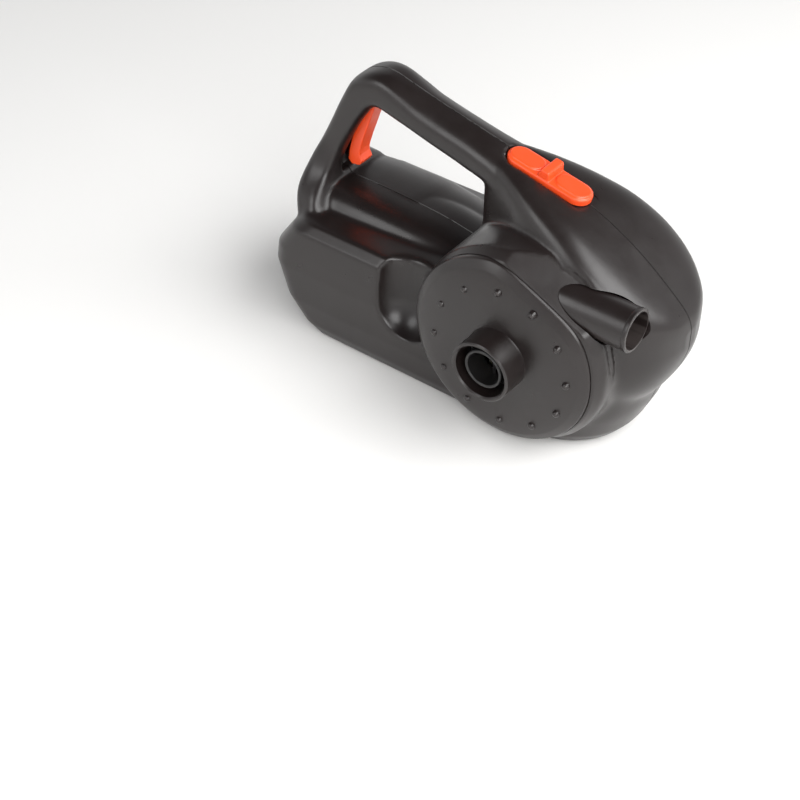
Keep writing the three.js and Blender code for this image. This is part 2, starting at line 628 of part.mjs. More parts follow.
function makeMotor() {
  const { radius, front, rear } = motor;
  const can = [
    [4.4, front + 1.6], [4.4, front], [radius - 1, front], [radius, front + 1], [radius, rear],
    [radius - 1.5, rear], [radius - 1.5, front + 1.6], [4.4, front + 1.6],
  ];
  let canShape = turned(can, 32);
  canShape = cut(canShape, ...motorScrewHoles(front - 2, front + 4));
  piece("motor_can", canShape, zinc, fanGroup);
  const half = box(-reach, -reach, fanZ + 4, reach, reach, reach);
  const magnet = ringAround(magnets.inner, magnets.outer, magnets.front, magnets.back, 28).intersect(half);
  piece("motor_magnet_upper", magnet, blackPlastic, fanGroup);
  piece("motor_magnet_lower", aboutFan(magnet, 180), blackPlastic, fanGroup);
  const bore = motor.shaft + 0.06;
  piece("motor_bush_front", ringAround(bore, 4.1, front - 0.8, front + 4, 16), bronze, fanGroup);
  piece("motor_bush_rear", ringAround(bore, 3.6, rear + 2, rear + 5, 16), bronze, fanGroup);
  const cap = [
    [3.9, rear + 4.6], [3.9, rear + 2], [6, rear + 2], [6, rear + gap], [radius - 0.4, rear + gap],
    [radius - 0.4, rear + 3.4], [9, rear + 4.6], [3.9, rear + 4.6],
  ];
  let capShape = turned(cap, 28);
  for (const side of [-1, 1]) {
    const { near, far, half: thick, long } = motorTab;
    const [x0, x1] = side < 0 ? [-far, -near] : [near, far];
    const opening = box(x0 - gap, rear - 2, fanZ - thick - gap, x1 + gap, rear + 8, fanZ + thick + gap);
    capShape = cut(capShape, opening);
    const terminal = box(x0, rear + 0.6, fanZ - thick, x1, rear + long, fanZ + thick);
    piece(side < 0 ? "motor_terminal_negative" : "motor_terminal_positive", terminal, brass, fanGroup);
  }
  piece("motor_end_cap", capShape, blackPlastic, fanGroup);
  motor.screws.forEach((x, i) => {
    const head = rod("y", scroll.back - 4.3, scroll.back - 2.7, 2.9, 2.9, x, fanZ, 12);
    const shank = rod("y", scroll.back - 3, front + 3.2, 1.45, 1.45, x, fanZ, 8);
    piece("motor_screw_" + (i + 1), join(head, shank), steel, fanGroup);
  });
}

// ---- battery and electrics ----------------------------------------------------------------------------
function makeBattery() {
  const { x, y, z, length, width, height, lid } = battery;
  const [x0, x1, y0, y1] = [x - length / 2, x + length / 2, y - width / 2, y + width / 2];
  const caseBox = box(x0, y0, z, x1, y1, z + height - lid);
  const lidBox = box(x0 + 0.8, y0 + 0.8, z + height - lid - 0.5, x1 - 0.8, y1 - 0.8, z + height);
  piece("battery", join(caseBox, lidBox), batteryCase);
  const top = z + height + gap;
  for (const pole of ["negative", "positive"]) {
    const { x: tabX, half, thick, foot, high, [pole]: tabY } = tab;
    const flat = box(tabX - half, tabY - foot, top, tabX + half, tabY + foot, top + thick);
    const upright = box(tabX - 1, tabY - half, top, tabX - 1 + 0.8, tabY + half, top + high);
    piece("battery_tab_" + pole, join(flat, upright), brass);
  }
  const clampBar = box(clamp.x0, clamp.y0, top, clamp.x1, clamp.y1, top + clamp.thick);
  const clampX = (clamp.x0 + clamp.x1) / 2;
  const stands = [-clamp.standY, clamp.standY].map((v) =>
    rod("z", top + 2, top + clamp.high, clamp.stand, clamp.stand, clampX, v, 12),
  );
  piece("battery_clamp", join(clampBar, ...stands), blackPlastic);
  piece("battery_pad", box(pad.x0, pad.y0, pad.z0, pad.x1, y0 - gap, pad.z1), foam);
  const boardZ = top + clamp.high + gap;
  const { x0: rear, x1: front, half, thick } = boardSize;
  const transformer = box(-118, -11, boardZ + 1, -104, 4, boardZ + 9);
  const capacitor = rod("z", boardZ + 1, boardZ + 9, 3.2, 3.2, -90, -7, 16);
  const plug = box(-92, 3, boardZ + 1, -82, 12, boardZ + 4);
  const parts = [box(rear, -half, boardZ, front, half, boardZ + thick), transformer, capacitor, plug];
  piece("circuit_board", join(...parts), board);
}

function makeCharging() {
  const { y, z, radius, bore, face, inside } = jack;
  const body = rod("x", face, inside, radius, radius, y, z, 18);
  const hole = rod("x", face - 1, inside - 2.6, bore, bore, y, z, 14);
  const pin = rod("x", face + 2, inside - 1, 1, 1, y, z, 8);
  piece("charge_socket", join(cut(body, hole), pin), blackPlastic);
  const flat = rod("x", face + 0.4, inside, led.radius, led.radius, led.y, led.z, 12);
  piece("charge_led", flat, lens);
}

function makeSlideSwitch() {
  const { length, width, travel, proud, thumb } = slide;
  const { length: padLength, width: padWidth, rise, at } = thumbPad;
  const pads = [-1, 1].map((side) => capsule(padLength, padWidth, proud - 1, proud + rise, side * at));
  const bar = box(-2.6, -width / 2 + 0.6, proud - 1, 2.6, width / 2 - 0.6, thumb);
  const { half, wide, down, slotHalf, slotWide } = slideStem;
  const stem = box(-half, -wide, down, half, wide, 1);
  const knob = join(capsule(length, width, -0.1, proud), ...pads, bar, stem);
  piece("slide_switch_knob", sloped(knob), orange);
  const { x0, x1, half: side, bottom, top } = slideBody;
  const slot = box(-slotHalf, -slotWide, -11, slotHalf + travel, slotWide, 0);
  const body = cut(box(x0, -side, bottom, x1, side, top), slot);
  piece("slide_switch_body", sloped(body), blackPlastic);
}

function makeTrigger() {
  const { x, z, half, hub } = trigger;
  const blade = plate(triggerLine, -half, half);
  const shape = join(blade, rod("y", -half, half, hub, hub, x, z, 20));
  piece("trigger", cut(shape, pinRod(0.05, 0)), orange);
  piece("trigger_pin", pinRod(0, 0), steel);
  piece("trigger_spring", coil(spring), steel);
  const { x0, x1, half: side, z0, z1 } = microSwitch;
  piece("trigger_switch", box(x0, -side, z0, x1, side, z1), blackPlastic);
}

// A compression spring along X; wire is the wire's radius.
function coil({ x0, x1, z, radius, wire, turns }) {
  class Helix extends THREE.Curve {
    getPoint(t) {
      const angle = 2 * Math.PI * turns * t;
      return new THREE.Vector3(x0 + (x1 - x0) * t, radius * Math.cos(angle), z + radius * Math.sin(angle));
    }
  }
  return tube(new Helix(), wire, turns * 10, 5);
}

function tube(curve, radius, steps, sides) {
  const section = new THREE.Shape(
    Array.from({ length: sides }, (_, i) => {
      const angle = (2 * Math.PI * i) / sides;
      return new THREE.Vector2(radius * Math.cos(angle), radius * Math.sin(angle));
    }),
  );
  return solid(new THREE.ExtrudeGeometry(section, { extrudePath: curve, steps, bevelEnabled: false }));
}

const wireRoutes = {
  wire_battery_switch: [
    [-59.5, -8, 63.8], [-52, -7, 64.5], [-42, -5, 64.5], [-34, -3, 71], [-31, -1, 86], [-28, 0, 100],
    [-25.6, 0, 110],
  ],
  wire_switch_motor: [
    [-3.8, 3, 105.4], [-2, 6, 99], [6, 16, 92], [14, 24, 84], [17, 27, 74], [14.5, 26, 66], [12, 25, 58],
  ],
  wire_charge: [
    [-119, 13, 66], [-127, 13, 69.6], [-136, 13.5, 68], [-142.6, 14, 62], [-146, 14, 54], [-146.5, 14, 46.4],
  ],
};

function makeWires() {
  for (const [name, route] of Object.entries(wireRoutes)) {
    const curve = new THREE.CatmullRomCurve3(route.map((p) => new THREE.Vector3(...p)));
    piece(name, tube(curve, 1.1, 12, 8), wireRed);
  }
}

// ---- fasteners and feet -------------------------------------------------------------------------------
function makeFasteners() {
  for (const s of screws) {
    const seat = screwSeat(s) + gap;
    const { shank: r, head: wide, headHigh, tip } = screwSize;
    const head = rod("y", seat, seat + headHigh, wide, wide - 0.4, s.x, s.z, 12);
    const shank = rod("y", tip, seat + 0.5, r, r, s.x, s.z, 8);
    piece("casing_screw_" + s.name, join(head, shank), steel);
  }
  const names = ["rear_near", "rear_far", "front_near", "front_far"];
  feet.places.forEach(([x, y], i) => {
    piece("foot_" + names[i], rod("z", 0, feet.height, feet.radius - 0.7, feet.radius, x, y, 16), rubber);
  });
}

makeCasing();
makeFanHousing();
makeCover();
makeRotor();
makeMotor();
makeBattery();
makeCharging();
makeSlideSwitch();
makeTrigger();
makeWires();
makeFasteners();

export default pump;
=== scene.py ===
import bmesh
import bpy
import json
import math
from mathutils import Matrix, Vector


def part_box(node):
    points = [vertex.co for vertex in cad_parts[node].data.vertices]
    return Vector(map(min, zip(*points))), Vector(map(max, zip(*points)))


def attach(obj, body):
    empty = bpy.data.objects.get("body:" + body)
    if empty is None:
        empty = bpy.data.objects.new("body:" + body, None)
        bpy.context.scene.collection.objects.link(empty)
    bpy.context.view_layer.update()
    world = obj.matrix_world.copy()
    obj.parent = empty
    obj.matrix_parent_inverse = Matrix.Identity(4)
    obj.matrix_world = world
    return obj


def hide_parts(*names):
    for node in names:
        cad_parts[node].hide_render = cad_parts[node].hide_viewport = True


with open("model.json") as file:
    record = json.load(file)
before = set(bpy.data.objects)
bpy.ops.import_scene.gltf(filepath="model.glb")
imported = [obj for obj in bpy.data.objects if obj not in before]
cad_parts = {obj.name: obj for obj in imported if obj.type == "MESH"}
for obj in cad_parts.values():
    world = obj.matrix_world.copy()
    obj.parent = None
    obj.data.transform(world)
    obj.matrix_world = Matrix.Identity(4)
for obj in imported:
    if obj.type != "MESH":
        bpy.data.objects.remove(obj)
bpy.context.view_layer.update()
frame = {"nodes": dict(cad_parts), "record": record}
scene = bpy.context.scene

# Shapes are drawn in millimetres, with x 0 on the fan axis, y 0 on the casing seam and z 0 on the floor.
wheelLow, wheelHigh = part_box("impeller")
seamGap = 0.3
fanX = (wheelLow.x + wheelHigh.x) / 2
fanZ = (wheelLow.z + wheelHigh.z) * 500
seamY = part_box("shell_near")[1].y + seamGap / 2000
toFrame = Matrix.Translation((fanX, seamY, 0)) @ Matrix.Scale(0.001, 4)
clear = 0.3  # around a piece that sits in a hole
beyond = 200  # cutting blocks run this far, past every side of the pump


# mesh tools
def newPiece(name, points, faces):
    mesh = bpy.data.meshes.new(name)
    mesh.from_pydata([tuple(p) for p in points], [], faces)
    piece = bpy.data.objects.new(name, mesh)
    scene.collection.objects.link(piece)
    bm = bmesh.new()
    bm.from_mesh(mesh)
    bmesh.ops.remove_doubles(bm, verts=bm.verts, dist=1e-4)
    bmesh.ops.recalc_face_normals(bm, faces=bm.faces)
    bm.to_mesh(mesh)
    bm.free()
    return piece


def copyOf(piece, name):
    made = bpy.data.objects.new(name, piece.data.copy())
    scene.collection.objects.link(made)
    return made


def settle(piece):
    # applies the modifiers
    graph = bpy.context.evaluated_depsgraph_get()
    mesh = bpy.data.meshes.new_from_object(piece.evaluated_get(graph))
    old = piece.data
    piece.modifiers.clear()
    piece.data = mesh
    bpy.data.meshes.remove(old)


def combine(piece, operation, *others):
    for other in others:
        step = piece.modifiers.new(operation, "BOOLEAN")
        step.solver = "MANIFOLD"
        step.operation = operation
        step.object = other
    settle(piece)
    for other in others:
        bpy.data.objects.remove(other)
    return piece


def soften(piece, voxel, rounds):
    # fine even mesh, then the small radii that a mould leaves on every edge
    remesh = piece.modifiers.new("voxels", "REMESH")
    remesh.mode = "VOXEL"
    remesh.voxel_size = voxel
    smooth = piece.modifiers.new("radii", "SMOOTH")
    smooth.factor = 0.5
    smooth.iterations = rounds
    settle(piece)
    return piece


def loft(name, rings, closed=False):
    # skins a row of rings; closed joins the last ring to the first, else both ends are filled
    count = len(rings[0])
    total = len(rings) * count
    faces = [] if closed else [tuple(range(count)), tuple(range(total - count, total))]
    for row in range(0, total if closed else total - count, count):
        for i in range(count):
            j = (i + 1) % count
            faces.append((row + i, row + j, (row + count + j) % total, (row + count + i) % total))
    return newPiece(name, [p for ring in rings for p in ring], faces)


def turned(name, profile, sides=96, centre=None, axis="Y"):
    # a closed profile of (radius, along) points turned about the fan axis, or about another line
    u, v = centre or (0, fanZ)
    points, faces = [], []
    for i in range(sides):
        c, s = math.cos(2 * math.pi * i / sides), math.sin(2 * math.pi * i / sides)
        for r, a in profile:
            across, up = u + r * c, v + r * s
            points.append({"X": (a, across, up), "Y": (across, a, up), "Z": (across, up, a)}[axis])
    n = len(profile)
    for i in range(sides):
        here, there = i * n, (i + 1) % sides * n
        for j in range(n):
            k = (j + 1) % n
            if profile[j][0] > 0 or profile[k][0] > 0:
                faces.append((here + j, here + k, there + k, there + j))
    return newPiece(name, points, faces)


def rod(axis, start, end, r0, r1, u, v, sides=48):
    return turned("rod", [(0, start), (r0, start), (r1, end), (0, end)], sides, (u, v), axis)


def plate(name, outline, y0, y1):
    # an outline in the XZ plane made thick along Y
    return loft(name, [[(x, y, z) for x, z in outline] for y in (y0, y1)])


def block(x0, y0, z0, x1, y1, z1):
    return plate("block", [(x0, z0), (x1, z0), (x1, z1), (x0, z1)], y0, y1)


def rounded(corners, radius, steps=4):
    # a closed line of points with each corner rounded
    points = []
    for i, corner in enumerate(corners):
        here, before, after = Vector(corner), Vector(corners[i - 1]), Vector(corners[(i + 1) % len(corners)])
        a, b = before - here, after - here
        start = here + a.normalized() * min(radius, a.length * 0.45)
        end = here + b.normalized() * min(radius, b.length * 0.45)
        for k in range(steps + 1):
            t = k / steps
            points.append(tuple(start * (1 - t) ** 2 + here * 2 * t * (1 - t) + end * t * t))
    return points


def superPoint(angle, half, high, upper, lower):
    # a point of a superellipse, with one power above its middle and one below
    power = upper if math.sin(angle) > 0 else lower
    c, s = math.cos(angle), math.sin(angle)
    return half * math.copysign(abs(c) ** (2 / power), c), high * math.copysign(abs(s) ** (2 / power), s)


def curved(t, a, b, c, d):
    # a smooth value from b to c, with a before them and d after
    square = 2 * a - 5 * b + 4 * c - d
    cube = 3 * b - a - 3 * c + d
    return 0.5 * (2 * b + (c - a) * t + square * t * t + cube * t ** 3)


def between(rows, steps):
    # smooth rows between the given ones, each a tuple of numbers
    made = []
    for i in range(len(rows) - 1):
        rowsHere = rows[max(i - 1, 0)], rows[i], rows[i + 1], rows[min(i + 2, len(rows) - 1)]
        for t in [k / steps for k in range(steps)]:
            made.append(tuple(curved(t, *values) for values in zip(*rowsHere)))
    return made + [tuple(rows[-1])]


def angles(count):
    return [2 * math.pi * i / count for i in range(count)]


def finishPiece(piece, name, body, slotName, *nodes, sharp=32):
    piece.name = name
    piece.data.name = name
    piece.data.transform(toFrame)
    piece.data.materials.clear()
    piece.data.materials.append(finishes[slotName])
    piece.data.shade_smooth()
    piece.data.set_sharp_from_angle(angle=math.radians(sharp))
    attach(piece, body)
    if nodes:
        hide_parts(*nodes)


# materials
def linear(colour):
    parts = [int(colour[i:i + 2], 16) / 255 for i in (1, 3, 5)]
    return [*(c / 12.92 if c <= 0.04045 else ((c + 0.055) / 1.055) ** 2.4 for c in parts), 1]


def addNode(tree, kind, sockets=None, **settings):
    node = tree.nodes.new(kind)
    for name, value in settings.items():
        setattr(node, name, value)
    for name, value in (sockets or {}).items():
        if isinstance(value, bpy.types.NodeSocket):
            tree.links.new(value, node.inputs[name])
        else:
            node.inputs[name].default_value = value
    return node


def newMaterial(name):
    material = bpy.data.materials.new(name)
    material.use_nodes = True
    tree = material.node_tree
    place = addNode(tree, "ShaderNodeTexCoord").outputs["Object"]
    return material, tree, tree.nodes["Principled BSDF"], place


def mixColours(tree, share, one, other):
    # one where share is 0, other where it is 1
    mix = addNode(tree, "ShaderNodeMix", data_type="RGBA")
    for socket, value in ((mix.inputs[0], share), (mix.inputs[6], one), (mix.inputs[7], other)):
        if isinstance(value, bpy.types.NodeSocket):
            tree.links.new(value, socket)
        else:
            socket.default_value = value
    return mix.outputs[2]


def noise(tree, place, sizeMm, detail, fine=0.5):
    settings = {"Vector": place, "Scale": 1000 / sizeMm, "Detail": detail, "Roughness": fine}
    return addNode(tree, "ShaderNodeTexNoise", settings)


def roughnessFrom(tree, value, low, high):
    # spreads the middle of a noise over a range of roughness
    settings = {"Value": value, "From Min": 0.3, "From Max": 0.7, "To Min": low, "To Max": high}
    return addNode(tree, "ShaderNodeMapRange", settings).outputs[0]


def mouldedPlastic(name, look):
    # flow marks and mould texture in every one; convex edges are painted lighter, partly as wear and partly
    # as a painted sheen
    material, tree, shader, place = newMaterial(name)
    flow = noise(tree, place, look["flowMm"], 3)
    grain = noise(tree, place, look["grainMm"], 2)
    scuff = noise(tree, place, look["scuffMm"], 5, 0.65)
    tone = mixColours(tree, flow.outputs["Fac"], linear(look["colour"]), linear(look["shade"]))
    # painted sheen: a lighter colour on convex edges, standing in for an edge highlight as well as for wear
    edges = addNode(tree, "ShaderNodeNewGeometry").outputs["Pointiness"]
    wearAndSheenRange = {"Value": edges, "From Min": 0.57, "From Max": 0.7, "To Max": look["wearAndSheen"]}
    edge = addNode(tree, "ShaderNodeMapRange", wearAndSheenRange)
    tree.links.new(mixColours(tree, edge.outputs[0], tone, linear(look["wornAndSheen"])), shader.inputs["Base Color"])
    middle, spread = look["roughness"], look["spread"]
    rough = roughnessFrom(tree, scuff.outputs["Fac"], middle - spread, middle + spread)
    tree.links.new(rough, shader.inputs["Roughness"])
    bump = addNode(tree, "ShaderNodeBump", {"Height": grain.outputs["Fac"],
                                            "Distance": look["grainDeepMm"] / 1000})
    wave = addNode(tree, "ShaderNodeBump", {"Height": flow.outputs["Fac"], "Distance": look["waveMm"] / 1000,
                                            "Normal": bump.outputs["Normal"]})
    tree.links.new(wave.outputs["Normal"], shader.inputs["Normal"])
    shader.inputs["IOR"].default_value = look["ior"]
    return material


def platedMetal(name, look):
    # metal shows as its plating or turning marks: fine lines across a clear, tinted reflection
    material, tree, shader, place = newMaterial(name)
    stretch = addNode(tree, "ShaderNodeMapping", {"Vector": place, "Scale": look["lines"]})
    marks = noise(tree, stretch.outputs["Vector"], look["markMm"], 4)
    stain = noise(tree, place, look["stainMm"], 3)
    tone = mixColours(tree, stain.outputs["Fac"], linear(look["colour"]), linear(look["shade"]))
    tree.links.new(tone, shader.inputs["Base Color"])
    rough = roughnessFrom(tree, marks.outputs["Fac"], look["roughness"] - 0.08, look["roughness"] + 0.1)
    tree.links.new(rough, shader.inputs["Roughness"])
    deep = look["deepMm"] / 1000
    bump = addNode(tree, "ShaderNodeBump", {"Height": marks.outputs["Fac"], "Distance": deep})
    tree.links.new(bump.outputs["Normal"], shader.inputs["Normal"])
    shader.inputs["Metallic"].default_value = 1
    return material


# Moulded ABS from a fine-eroded steel mould: deep warm charcoal with broad soft highlights.
# The mould's real grain is near 0.1 mm; it is drawn at 0.5 mm, or it would not show.
charcoal = {"colour": "#161110", "shade": "#201918", "wornAndSheen": "#4a4442", "wearAndSheen": 0.4,
            "flowMm": 45, "grainMm": 0.5, "scuffMm": 14, "roughness": 0.32, "spread": 0.05,
            "grainDeepMm": 0.012, "waveMm": 0.05, "ior": 1.54}
# Glass-filled nylon, a little greyer and drier than the casing.
blackNylon = {"colour": "#100f0f", "shade": "#181717", "wornAndSheen": "#4d4a48", "wearAndSheen": 0.5,
              "flowMm": 20, "grainMm": 0.4, "scuffMm": 6, "roughness": 0.42, "spread": 0.07,
              "grainDeepMm": 0.015, "waveMm": 0.02, "ior": 1.53}
# Orange ABS, polished mould: clean, saturated, with a painted sheen along its edges, a lighter orange put
# into the colour of every convex edge.
orangeAbs = {"colour": "#f4501f", "shade": "#ec4a1c", "wornAndSheen": "#ff8a5c", "wearAndSheen": 0.55,
             "flowMm": 18, "grainMm": 0.45, "scuffMm": 7, "roughness": 0.36, "spread": 0.06,
             "grainDeepMm": 0.01, "waveMm": 0.02, "ior": 1.54}
# Natural nylon of the fan wheel: milky and waxy.
naturalNylon = {"colour": "#cfcabb", "shade": "#c2bca9", "wornAndSheen": "#e6e2d6", "wearAndSheen": 0.3,
                "flowMm": 15, "grainMm": 0.5, "scuffMm": 6, "roughness": 0.4, "spread": 0.05,
                "grainDeepMm": 0.008, "waveMm": 0.03, "ior": 1.53}
# Battery case: dull recycled ABS.
batteryAbs = {"colour": "#24272c", "shade": "#1d2024", "wornAndSheen": "#4b5056", "wearAndSheen": 0.5,
              "flowMm": 30, "grainMm": 0.8, "scuffMm": 9, "roughness": 0.5, "spread": 0.08,
              "grainDeepMm": 0.03, "waveMm": 0.05, "ior": 1.54}
# PVC wire cover: bright, soft shine.
redPvc = {"colour": "#8c1c17", "shade": "#7c1612", "wornAndSheen": "#b04038", "wearAndSheen": 0.2,
          "flowMm": 12, "grainMm": 0.6, "scuffMm": 5, "roughness": 0.38, "spread": 0.05,
          "grainDeepMm": 0.01, "waveMm": 0.03, "ior": 1.53}
# Moulded nitrile rubber of the feet and the seal: black, matt, dusty on its edges.
nitrile = {"colour": "#151414", "shade": "#1c1b1a", "wornAndSheen": "#4a4744", "wearAndSheen": 0.6,
           "flowMm": 10, "grainMm": 0.5, "scuffMm": 4, "roughness": 0.72, "spread": 0.1,
           "grainDeepMm": 0.03, "waveMm": 0.02, "ior": 1.52}

# Zinc-plated steel can, barrel plated: cool grey and cloudy, with fine lines in the finish.
zincPlate = {"colour": "#b9bbc0", "shade": "#a3a7ad", "lines": (1, 6, 1), "markMm": 1.5, "stainMm": 12,
             "roughness": 0.34, "deepMm": 0.004}
# Turned steel of the shaft and screws: darker and sharper, with fine lines from the tool.
turnedSteel = {"colour": "#9b9da1", "shade": "#85878c", "lines": (1, 8, 1), "markMm": 0.8, "stainMm": 8,
               "roughness": 0.28, "deepMm": 0.004}
# Sintered bronze bushes: brown and grainy, so the reflection is broken up.
sinteredBronze = {"colour": "#a0713f", "shade": "#845a30", "lines": (1, 1, 1), "markMm": 0.3, "stainMm": 3,
                  "roughness": 0.45, "deepMm": 0.01}
# Pressed brass strip: warm yellow with rolling lines.
pressedBrass = {"colour": "#cfa750", "shade": "#b98f3d", "lines": (1, 5, 1), "markMm": 0.9, "stainMm": 6,
                "roughness": 0.3, "deepMm": 0.004}
# Closed-cell foam, circuit board and tinted epoxy, for the three functions below.
foam = {"colour": "#3b3b3d", "shade": "#55555a", "cellMm": 0.9, "deepMm": 0.2, "roughness": 0.95}
board = {"colour": "#1f4a2c", "shade": "#2c6b3d", "weaveMm": 3.77, "roughness": 0.32, "lacquer": 0.4}
lens = {"colour": "#c3201a", "shade": "#8f120e", "hazeMm": 1.5, "roughness": 0.1, "ior": 1.55, "clear": 0.4}


def evaFoam(name):
    # closed-cell foam pad: matt, with small round cells
    material, tree, shader, place = newMaterial(name)
    cells = addNode(tree, "ShaderNodeTexVoronoi", {"Vector": place, "Scale": 1000 / foam["cellMm"]})
    tone = mixColours(tree, cells.outputs["Distance"], linear(foam["colour"]), linear(foam["shade"]))
    tree.links.new(tone, shader.inputs["Base Color"])
    deep = foam["deepMm"] / 1000
    bump = addNode(tree, "ShaderNodeBump", {"Height": cells.outputs["Distance"], "Distance": deep})
    tree.links.new(bump.outputs["Normal"], shader.inputs["Normal"])
    shader.inputs["Roughness"].default_value = foam["roughness"]
    return material


def glassBoard(name):
    # woven glass and epoxy under green lacquer; the weave shows through faintly.
    # The real cloth is near 0.6 mm; it is drawn at 3.77 mm, or it would not show.
    material, tree, shader, place = newMaterial(name)
    scale = 1000 / board["weaveMm"] * 2 * math.pi / 20  # a wave turns 20 radians in each unit
    weave = addNode(tree, "ShaderNodeTexWave", {"Vector": place, "Scale": scale, "Distortion": 0.4})
    tone = mixColours(tree, weave.outputs["Fac"], linear(board["colour"]), linear(board["shade"]))
    tree.links.new(tone, shader.inputs["Base Color"])
    shader.inputs["Roughness"].default_value = board["roughness"]
    shader.inputs["Coat Weight"].default_value = board["lacquer"]
    return material


def epoxyLens(name):
    # tinted epoxy of the charge light: clear, wet look
    material, tree, shader, place = newMaterial(name)
    haze = addNode(tree, "ShaderNodeTexNoise", {"Vector": place, "Scale": 1000 / lens["hazeMm"]})
    tone = mixColours(tree, haze.outputs["Fac"], linear(lens["colour"]), linear(lens["shade"]))
    tree.links.new(tone, shader.inputs["Base Color"])
    shader.inputs["Roughness"].default_value = lens["roughness"]
    shader.inputs["IOR"].default_value = lens["ior"]
    shader.inputs["Transmission Weight"].default_value = lens["clear"]
    return material


finishes = {
    "moulded_charcoal": mouldedPlastic("moulded charcoal ABS", charcoal),
    "black_plastic": mouldedPlastic("glass-filled black nylon", blackNylon),
    "orange_plastic": mouldedPlastic("polished orange ABS", orangeAbs),
    "white_nylon": mouldedPlastic("natural nylon", naturalNylon),
    "battery_case": mouldedPlastic("battery ABS", batteryAbs),
    "wire_red": mouldedPlastic("red PVC", redPvc),
    "rubber": mouldedPlastic("moulded nitrile rubber", nitrile),
    "zinc_plate": platedMetal("zinc-plated steel", zincPlate),
    "steel": platedMetal("turned steel", turnedSteel),
    "bronze": platedMetal("sintered bronze", sinteredBronze),
    "brass": platedMetal("pressed brass", pressedBrass),
    "foam": evaFoam("closed-cell foam"),
    "circuit_board": glassBoard("lacquered glass board"),
    "red_lens": epoxyLens("red epoxy lens"),
}
for row in frame["record"]["subparts"]:
    node = frame["nodes"][row["node"]]
    node.data.materials.clear()
    node.data.materials.append(finishes[row["material_slot"]])
    node.data.shade_smooth()
    node.data.set_sharp_from_angle(angle=math.radians(30))
print("materials:", len(finishes))

# casing
casing = {
    "voxel": 0.9,
    "softRounds": 8,  # of smoothing, for the radius on every edge
    "wall": 2.6,
    "grooveWide": 0.9,  # V along the seam between the half shells
    "grooveDeep": 0.7,
    "underside": 1.5,
    # level, rear, front, half width
    "base": [(1.5, -134, 46, 41), (8, -141, 51, 43.5), (22, -150, 57, 45.5), (42, -156, 62, 46),
             (52, -155, 64, 45.5), (66, -145, 65, 44.5), (71, -140, 62, 39.5)],
    "farShelf": 0.72,  # the top of the base is drawn in by this on the far side
    "corner": 13,  # radius at the rear
    "nose": 54,  # length of the rounded front
    # along, bottom, top, half width
    "hump": [(-147, 52, 75, 18), (-140, 50, 80.5, 24), (-85, 50, 79, 23), (-58, 50, 75.5, 21.5),
             (-30, 50, 70, 20)],
    # along, top, half width
    "shoulder": [(-146, 74, 34), (-139, 80, 42), (-100, 80, 45), (-85, 78.5, 44), (-67, 75, 43),
                 (-30, 66, 40)],
    "shoulderMiddle": 40,
    # along, bottom, top, half width
    "hood": [(-43, 66, 120, 10), (-38, 60, 131, 13.5), (-24, 50, 130, 20), (-10, 40, 126.5, 26.5),
             (4, 30, 122.5, 31.5), (18, 22, 117.5, 35.5), (32, 18, 110.5, 37.5), (44, 20, 103, 36.5),
             (54, 27, 95.5, 33), (62, 35, 89, 27), (67.5, 45, 84, 20), (71, 54, 79.5, 12), (73, 62, 74, 4.5)],
    # along, height, half width, half thickness
    "handle": [(-6, 112, 24, 8), (-30, 123, 16, 9), (-50, 128.5, 13.5, 9), (-72, 133.8, 13, 8.8),
               (-94, 139.5, 12.7, 8.8), (-108, 142.5, 12.5, 9), (-118, 138.5, 12.5, 9),
               (-125.5, 128, 12.5, 8), (-132.5, 114.5, 12.7, 7.4), (-139, 101, 13.5, 7.4),
               (-143.5, 89, 18, 8.4), (-144, 78, 28, 9.8), (-140, 68, 34, 10)],
}
vents = {"count": 7, "pitch": 6, "length": 30, "width": 2.2, "z": 55, "inside": 34, "outside": 60}
drum = {"radius": 54, "lip": 50, "front": -49, "shoulder": -43, "seat": -46.2, "back": -12,
        "grooves": [(-39.8, 1.6), (-35.2, 1.6)], "grooveWide": 2.4}  # depth along the axis, then how deep
roof = {"chord": 45, "turn": 64, "slope": 33}
outlet = {"y": -34.3, "z": 89.2, "start": 24, "mouth": 61.7, "radius": 11, "root": 12, "bore": 9.6,
          "through": 76}  # where the hole round the tube leaves the nose
flank = {"centre": (28, -47, 103), "size": (24, 14, 15)}  # dish in the nose above the outlet
recess = {"x": -64, "y": -50.5, "z": 47, "radius": 18.5, "reach": 50}
mouth = {
    "outline": [(-110.5, 126), (-113.5, 134.6), (-124, 134.6), (-146.5, 90), (-140, 84), (-126, 82)],
    "half": 5.4,
    "hub": 5,  # room round the trigger's hub
}
# hollows between forms that the mould eases with a wide radius; each is a box with a soft edge
eased = {
    "beside the hump": {"x": (-146, -42), "y": (-40, -6), "z": (62, 82), "fade": 7, "rounds": 55},
    "under the nose": {"x": (38, 80), "y": (-48, 46), "z": (12, 64), "fade": 10, "rounds": 110},
    "front post": {"x": (-52, -26), "y": (-20, 20), "z": (84, 126), "fade": 8, "rounds": 50},
}


def baseForm():
    rings = []
    for z, rear, front, half in casing["base"]:
        ring = []
        for i in range(41):
            y, x = superPoint(math.pi * i / 40, -half, casing["nose"], 2.3, 2.3)
            ring.append((front - casing["nose"] + x, y))
        for side in (1, -1):
            for i in range(11):
                turn = (i if side > 0 else 10 - i) / 10 * math.pi / 2
                x = rear + casing["corner"] * (1 - math.sin(turn))
                ring.append((x, side * (half - casing["corner"] * (1 - math.cos(turn)))))
        drawnIn = casing["farShelf"] if z > casing["base"][-2][0] else 1
        rings.append([(x, y * drawnIn if y > 0 else y, z) for x, y in ring])
    return loft("base", rings)


